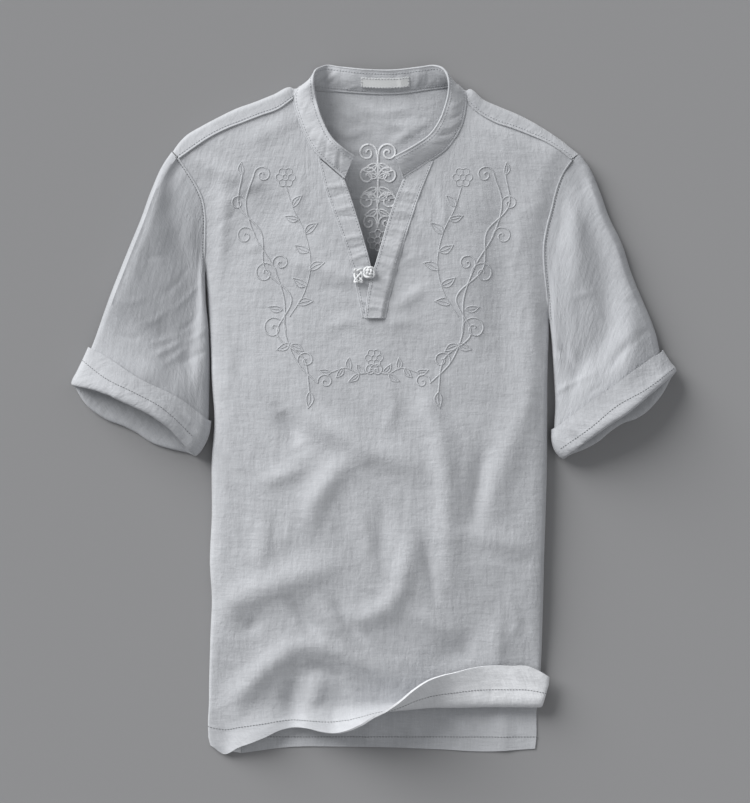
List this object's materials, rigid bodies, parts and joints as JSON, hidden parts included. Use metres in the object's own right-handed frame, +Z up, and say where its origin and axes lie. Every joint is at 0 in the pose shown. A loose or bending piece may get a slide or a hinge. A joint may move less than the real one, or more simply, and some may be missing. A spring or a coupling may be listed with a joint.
{
  "type": "linen shirt",
  "caption": "Short-sleeved linen shirt with a band collar, an open neck slit and a knotted cord button, laid flat.",
  "frame": {"origin": "middle of the box round the laid shirt, on the surface it lies on", "axes": "+Y from the hem to the collar, +X to the right as seen from above, +Z up from the surface"},
  "size_m": [0.6756, 0.7698, 0.0543],
  "materials": {
    "linen": "matt, slubbed plain weave",
    "band_linen": "matt, two layers, stitched",
    "cord": "twisted cotton cord, slight sheen",
    "label_tape": "smooth woven tape, bare"
  },
  "bodies": {
    "root": {"front": "linen", "back": "linen", "yoke": "linen", "sleeve_left": "linen", "sleeve_right": "linen", "collar": "band_linen", "placket_left": "band_linen", "placket_right": "band_linen", "knot_button": "cord", "button_loop": "cord", "label": "label_tape"}
  },
  "joints": []
}
